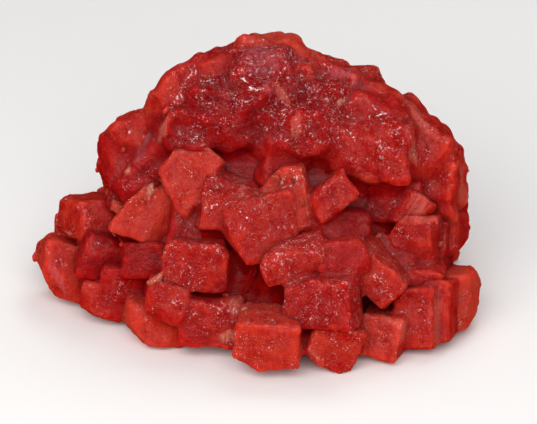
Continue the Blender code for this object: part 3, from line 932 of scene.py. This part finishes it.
def flesh_colour_group():
    """Colour of cut tuna: deep to light red, darker in the gaps by painted shade, with fat and silvery
    skin.
    """
    inputs = {
        "Vector": ("Grain",),
        "Float": ("Tone", "Rim", "Shelter", "Fat", "Sinew", "Silver"),
        "Color": FLESH_COLOURS,
    }
    tree, given, result = group_tree("flesh colour", inputs, {"Color": ("Color",)})
    grain = given["Grain"]
    cloud = noise_at(tree, grain, CLOUD_SIZE, 3.0, 0.55, 0.6)
    mottle = noise_at(tree, grain, MOTTLE_SIZE, 3.0, 0.6)
    speckle = noise_at(tree, grain, GRAIN_SIZE, 2.0, 0.7)
    inputs = {"Vector": grain, "Scale": (1.0, 1.0, FIBRE_STRETCH)}
    lengthways = add_node(tree, "Mapping", inputs)
    fibres = noise_at(tree, lengthways.outputs["Vector"], FIBRE_SIZE, 3.0, 0.6, 0.4)
    tone = given["Tone"]
    # The tone wanders with the clouds, mottle, speckle and fibres of the flesh, and rises on the rims: a
    # painted glow of light through thin edges
    for layer, low, high, darkest, lightest in (
        (cloud, 0.3, 0.7, -0.20, 0.20),
        (mottle, 0.3, 0.7, -0.07, 0.07),
        (speckle, 0.3, 0.7, -0.07, 0.07),
        (fibres, 0.35, 0.65, -0.07, 0.10),
        (given["Rim"], 0.0, 0.8, 0.0, 0.24),
    ):
        tone = maths(tree, "ADD", tone, stretched(tree, layer, low, high, darkest, lightest))
    darker = blended(tree, stretched(tree, tone, 0.0, 0.5), given["Deep"], given["Middle"])
    colour = blended(tree, stretched(tree, tone, 0.5, 1.0), darker, given["Light"])
    flecks = noise_at(tree, grain, FLECK_SIZE, 2.0, 0.6)
    pale_flecks = maths(tree, "MULTIPLY", stretched(tree, flecks, 0.60, 0.72), 0.35)
    colour = blended(tree, pale_flecks, colour, given["Light"])
    frayed = noise_at(tree, grain, FRAY_SIZE, 3.0, 0.7, 0.8)
    ragged = stretched(tree, frayed, 0.25, 0.75, -0.45, 0.45)
    ragged = maths(tree, "ADD", ragged, stretched(tree, fibres, 0.40, 0.60, -0.30, 0.30))
    # Fat and sinew are the flesh's own colours; the violet of the silvery skin is a painted sheen
    for kind, most in (("Sinew", 0.45), ("Silver", 0.3), ("Fat", 0.80)):
        edge = maths(tree, "ADD", given[kind], ragged)
        amount = maths(tree, "MULTIPLY", stretched(tree, edge, 0.30, 1.10), most)
        amount = maths(tree, "MULTIPLY", amount, stretched(tree, given[kind], 0.0, 0.3))
        colour = blended(tree, amount, colour, given[kind + " Colour"])
    # Painted shade: points sheltered by other cubes are turned up to three quarters of the way to the dark
    # colour of the gaps
    gap = stretched(tree, given["Shelter"], 0.35, 1.0, 0.0, 0.75)
    tree.links.new(blended(tree, gap, colour, given["Gap"]), result["Color"])
    return tree


def wet_grain_group():
    """The granular wet skin: its height, where it is coated with juice, and its painted glints."""
    inputs = {"Vector": ("Grain",), "Float": ("Wet", "Shelter")}
    outputs = {"Float": ("Height", "Coat", "Roughness", "Glint")}
    tree, given, result = group_tree("wet grain", inputs, outputs)
    grain = given["Grain"]
    patches = noise_at(tree, grain, PATCH_SIZE, 2.0, 0.5)
    patchy = maths(tree, "ADD", given["Wet"], stretched(tree, patches, 0.3, 0.7, -0.35, 0.35))
    # Sheltered points are less wet, so that no painted glints lie in the shade of the gaps
    open_air = stretched(tree, given["Shelter"], 0.2, 0.7, 1.0, 0.0)
    wet = maths(tree, "MULTIPLY", stretched(tree, patchy, 0.15, 0.85), open_air)
    fine = noise_at(tree, grain, GRAIN_SIZE, 2.0, 0.65)
    coarse = noise_at(tree, grain, BUMP_SIZE, 2.0, 0.5)
    rough = maths(tree, "MULTIPLY", fine, stretched(tree, wet, 0.0, 1.0, 0.35, 1.0))
    tree.links.new(maths(tree, "ADD", rough, maths(tree, "MULTIPLY", coarse, 0.5)), result["Height"])
    tree.links.new(stretched(tree, wet, 0.0, 1.0, 0.0, 0.25), result["Coat"])
    tree.links.new(stretched(tree, wet, 0.0, 1.0, 0.52, 0.17), result["Roughness"])
    # Painted highlights: pale specks, in clusters where the skin is wet, to be mixed into the colour
    clusters = noise_at(tree, grain, CLUSTER_SIZE, 2.0, 0.6)
    clustered = stretched(tree, clusters, 0.34, 0.62, 0.15, 1.0)
    crowded = maths(tree, "MULTIPLY", wet, clustered)
    specks = noise_at(tree, grain, GLINT_SIZE, 2.0, 0.6, 0.8)
    specks = maths(tree, "ADD", specks, maths(tree, "MULTIPLY", crowded, 0.15))
    uneven = noise_at(tree, grain, UNEVEN_SIZE, 1.0, 0.5)
    strength = stretched(tree, uneven, 0.45, 0.66, 0.06, 0.90)
    lit = maths(tree, "MULTIPLY", stretched(tree, specks, 0.66, 0.75), strength)
    lit = maths(tree, "MULTIPLY", lit, stretched(tree, crowded, 0.0, 0.3))
    tree.links.new(lit, result["Glint"])
    return tree


@functools.cache
def flesh_material():
    """Wet raw tuna: light goes into it, it is deep red in the gaps by painted shade, and it
    glitters on top, by its gloss and by painted glints.
    """
    look = bpy.context.scene.tuna_look
    material = bpy.data.materials.new("tuna_flesh")
    material.use_nodes = True
    tree = material.node_tree
    shader = tree.nodes["Principled BSDF"]
    colour = add_node(tree, "Group", node_tree=flesh_colour_group())
    skin = add_node(tree, "Group", node_tree=wet_grain_group())
    for label in ("grain", "tone", "rim", "shelter", "fat", "sinew", "silver", "wet"):
        reader = add_node(tree, "Attribute", attribute_name=label)
        output = reader.outputs["Vector" if label == "grain" else "Fac"]
        for group in (colour, skin):
            socket = group.inputs.get(label.title())
            if socket:
                tree.links.new(output, socket)
    for label in FLESH_COLOURS:
        value = getattr(look, label.removesuffix(" Colour").lower())
        colour.inputs[label].default_value = (*value, 1.0)
    flesh, painted_glint = colour.outputs["Color"], (*look.painted_glint, 1.0)
    relief = {"Height": skin.outputs["Height"], "Strength": 1.0, "Distance": look.grain_depth}
    finish = {
        # The painted glints are mixed into the base colour, as painted highlights on top of the real gloss
        "Base Color": blended(tree, skin.outputs["Glint"], flesh, painted_glint),
        "Normal": add_node(tree, "Bump", relief).outputs["Normal"],
        "Roughness": skin.outputs["Roughness"],
        "Coat Weight": skin.outputs["Coat"],
        "Coat Roughness": 0.14,
        "Coat IOR": 1.34,
        "IOR": 1.36,
        "Subsurface Weight": look.scatter,
        "Subsurface Radius": (1.0, 0.22, 0.12),
        "Subsurface Scale": look.scatter_depth,
    }
    feed(tree, shader, finish)
    return material


def add_flesh(context, name, blocks, voxel, seam, swell):
    """Puts one dressed piece of the heap in the scene, on the heap's body."""
    look = context.scene.tuna_look
    mesh = flesh_skin(blocks, look, voxel / MM, seam / MM, swell / MM)
    mesh.name = name
    piece = placed(name, mesh)
    mesh.materials.append(flesh_material())
    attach(piece, BODY)
    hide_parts(NODE)


def length(name, description, default, least=0.0):
    """A length that a user may change, in metres."""
    return FloatProperty(
        name=name, description=description, default=default,
        min=least, unit="LENGTH", precision=5,
    )


def shade(name, description, default):
    """A colour that a user may change."""
    return FloatVectorProperty(
        name=name, description=description, default=default,
        min=0, max=1, subtype="COLOR",
    )


class TunaLook(bpy.types.PropertyGroup):
    """Sizes and colours that a user may change before the pieces are made."""

    fine_voxel: length("Skin detail", "Grid of the skin of the cubes that show in front", 0.0005, 0.0002)
    coarse_voxel: length("Rear skin detail", "Grid of the skin of the cubes behind", 0.0009, 0.0002)
    seam: length("Seams", "Half the width of the gaps that the flesh closes", 0.0003)
    pressed_seam: length("Seams on top", "The same for the pieces on top, pressed into a lump", 0.0028)
    swell: length("Swell", "How far the faces of the cubes bulge and sink", 0.0004)
    pressed_swell: length("Swell on top", "The same for the pieces on top, pressed into a lump", 0.0016)
    bend: length("Bend", "How far slow bends carry the cuts off straight lines", 0.0009)
    ripple: length("Ripple", "Height of the small lumps on the faces", 0.00018)
    nick: length("Nicks", "Depth of the nicks along the cut edges", 0.0009)
    grain_depth: length("Grain", "Depth of the fine grain that glitters", 0.0008)
    shelter_reach: length("Gap reach", "How far away another cube still darkens a face", 0.011, 0.001)
    scatter: FloatProperty(
        name="Translucence", description="How much of the light goes into the flesh",
        default=1.0, min=0.0, max=1.0, subtype="FACTOR",
    )
    scatter_depth: length("Light depth", "How far red light travels in the flesh", 0.0060)
    deep: shade("Deep red", "Colour of the darkest cubes", (0.21, 0.001, 0.003))
    middle: shade("Red", "Colour of most cubes", (0.40, 0.005, 0.004))
    # The light red is the lightest cubes' own colour; on thin edges the rims raise the tone towards it, a
    # painted glow of light through the flesh
    light: shade("Light red", "Colour of the lightest cubes and of thin edges", (0.59, 0.044, 0.022))
    # Painted shade: the colour that points sheltered between the cubes are turned towards
    gap: shade("Gaps", "Colour deep between the cubes", (0.34, 0.001, 0.004))
    fat: shade("Fat", "Colour of the specks of fat", (0.66, 0.23, 0.16))
    sinew: shade("Sinew", "Colour of the thin pale streaks", (0.70, 0.17, 0.12))
    # The silvery skin's colour: a pale membrane with a painted violet sheen
    silver: shade("Silver skin", "Colour of the violet sheen", (0.60, 0.18, 0.22))
    # Painted highlight: the colour of the glints that are mixed into the flesh
    painted_glint: shade("Glints", "Colour of the smallest wet specks", (0.92, 0.76, 0.75))
    floor: shade("Floor", "Colour of the floor", (0.97, 0.97, 0.97))


# The core's grid is this much coarser than that of the cubes behind, and the scraps are so
# thin that only seams this narrow, in metres, may be filled
CORE_COARSENESS = 1.5
SCRAP_SEAM = 0.0001


class MakeCore(bpy.types.Operator):
    """Makes the dark middle of the heap, which shows only deep in the gaps; its dark tone is painted shade
    """

    bl_idname = "tuna.make_core"
    bl_label = "Core"

    def execute(self, context):
        look = context.scene.tuna_look
        core = all_blocks()["core"]
        voxel = look.coarse_voxel * CORE_COARSENESS
        add_flesh(context, "heap_core", core, voxel, look.seam, look.swell)
        return {"FINISHED"}


class MakeHidden(bpy.types.Operator):
    """Makes the cubes of the sides and back"""

    bl_idname = "tuna.make_hidden"
    bl_label = "Cubes behind"

    def execute(self, context):
        look = context.scene.tuna_look
        cubes = all_blocks()["hidden"]
        add_flesh(context, "cubes_behind", cubes, look.coarse_voxel, look.seam, look.swell)
        return {"FINISHED"}


class MakeCourses(bpy.types.Operator):
    """Makes the three courses of cubes and the pressed lump on top"""

    bl_idname = "tuna.make_courses"
    bl_label = "Cubes in front"

    def execute(self, context):
        look = context.scene.tuna_look
        for course in COURSE_ROWS:
            pressed = course == "crown"
            seam = look.pressed_seam if pressed else look.seam
            swell = look.pressed_swell if pressed else look.swell
            cubes = all_blocks()[course]
            add_flesh(context, f"cubes_{course}", cubes, look.fine_voxel, seam, swell)
        return {"FINISHED"}


class MakeScraps(bpy.types.Operator):
    """Makes the scraps and crumbs that lie on the cubes"""

    bl_idname = "tuna.make_scraps"
    bl_label = "Scraps"

    def execute(self, context):
        look = context.scene.tuna_look
        voxel, swell = look.fine_voxel / 2, look.swell / 2
        add_flesh(context, "scraps", scrap_blocks(), voxel, SCRAP_SEAM, swell)
        return {"FINISHED"}


class Lamp(NamedTuple):
    """A lamp over the heap, in metres and watts.

    A soft lamp lights the flesh without being mirrored in it. The others only glitter.
    """

    name: str
    place: tuple
    size: tuple
    power: float
    soft: bool = True
    colour: tuple = (1.0, 1.0, 1.0)


LAMPS = (
    Lamp("key", (-0.12, -0.56, 0.48), (0.9, 0.5), 5.2, colour=(1.0, 0.98, 0.96)),
    Lamp("top", (0.15, 0.30, 0.60), (0.45, 0.3), 1.1),
    Lamp("glitter_0", (-0.14, -0.40, 0.75), (0.07, 0.07), 5.5, soft=False),
    Lamp("glitter_1", (0.25, -0.40, 0.60), (0.07, 0.07), 2.8, soft=False),
)
LAMP_AIM = (0, 0, 0.03)
SKY_COLOUR = (1.0, 0.99, 0.98)
SKY_STRENGTH = 0.33
FLOOR_HALF = 3.0
FLOOR_ROUGHNESS = 0.9
CAMERA_DISTANCE = 1.4
SENSOR_WIDTH = 36


def add_lamp(lamp):
    light = bpy.data.lights.new(lamp.name, "AREA")
    light.shape = "RECTANGLE"
    light.size, light.size_y = lamp.size
    light.energy = lamp.power
    light.color = lamp.colour
    hung = placed(lamp.name, light)
    hung.location = lamp.place
    way = Vector(LAMP_AIM) - Vector(lamp.place)
    hung.rotation_euler = way.to_track_quat("-Z", "Y").to_euler()
    hung.visible_glossy = not lamp.soft
    hung.visible_diffuse = lamp.soft


class MakeStage(bpy.types.Operator):
    """Makes the pale floor, the soft lights and the camera"""

    bl_idname = "tuna.make_stage"
    bl_label = "Stage"

    def execute(self, context):
        self.add_floor(context)
        self.add_lights(context)
        self.add_camera(context)
        return {"FINISHED"}

    def add_floor(self, context):
        shape = bmesh.new()
        bmesh.ops.create_grid(shape, x_segments=1, y_segments=1, size=FLOOR_HALF)
        mesh = bpy.data.meshes.new("floor")
        shape.to_mesh(mesh)
        shape.free()
        material = bpy.data.materials.new("floor")
        material.use_nodes = True
        shader = material.node_tree.nodes["Principled BSDF"]
        shader.inputs["Base Color"].default_value = (*context.scene.tuna_look.floor, 1.0)
        shader.inputs["Roughness"].default_value = FLOOR_ROUGHNESS
        mesh.materials.append(material)
        floor = placed("floor", mesh)
        floor.visible_glossy = False

    def add_lights(self, context):
        world = bpy.data.worlds.new("studio")
        world.use_nodes = True
        background = world.node_tree.nodes["Background"]
        background.inputs["Color"].default_value = (*SKY_COLOUR, 1.0)
        background.inputs["Strength"].default_value = SKY_STRENGTH
        world.cycles_visibility.glossy = False
        context.scene.world = world
        for lamp in LAMPS:
            add_lamp(lamp)
        context.scene.view_settings.view_transform = "Standard"

    def add_camera(self, context):
        lens = bpy.data.cameras.new("camera")
        lens.sensor_width = SENSOR_WIDTH
        lens.lens = SENSOR_WIDTH * CAMERA_DISTANCE / (PICTURE[0] * PIXEL * MM)
        camera = placed("camera", lens)
        across = (PICTURE[0] / 2 - MIDDLE[0]) * PIXEL * MM
        up = (MIDDLE[1] - PICTURE[1] / 2) * PIXEL * MM
        back = Vector(TO_VIEWER) * CAMERA_DISTANCE
        camera.location = Vector((across, 0, 0)) + Vector(UP_IN_VIEW) * up + back
        camera.rotation_euler = (math.pi / 2 - LOOK_DOWN, 0, 0)
        context.scene.camera = camera


class TunaPanel(bpy.types.Panel):
    """Lists what makes the heap"""

    bl_idname = "VIEW3D_PT_tuna"
    bl_label = "Raw tuna cubes"
    bl_space_type = "VIEW_3D"
    bl_region_type = "UI"
    bl_category = "Tuna"

    def draw(self, context):
        look = context.scene.tuna_look
        for name in look.bl_rna.properties.keys():
            if name not in ("rna_type", "name"):
                self.layout.prop(look, name)
        for maker in MAKERS:
            self.layout.operator(maker.bl_idname)


MAKERS = (MakeStage, MakeCore, MakeHidden, MakeCourses, MakeScraps)
CLASSES = (TunaLook, *MAKERS, TunaPanel)


def register():
    for made in CLASSES:
        bpy.utils.register_class(made)
    bpy.types.Scene.tuna_look = PointerProperty(type=TunaLook)


def unregister():
    del bpy.types.Scene.tuna_look
    for made in reversed(CLASSES):
        bpy.utils.unregister_class(made)


def main():
    register()
    bpy.ops.tuna.make_stage()
    bpy.ops.tuna.make_core()
    bpy.ops.tuna.make_hidden()
    bpy.ops.tuna.make_courses()
    bpy.ops.tuna.make_scraps()


if __name__ == "__main__":
    main()
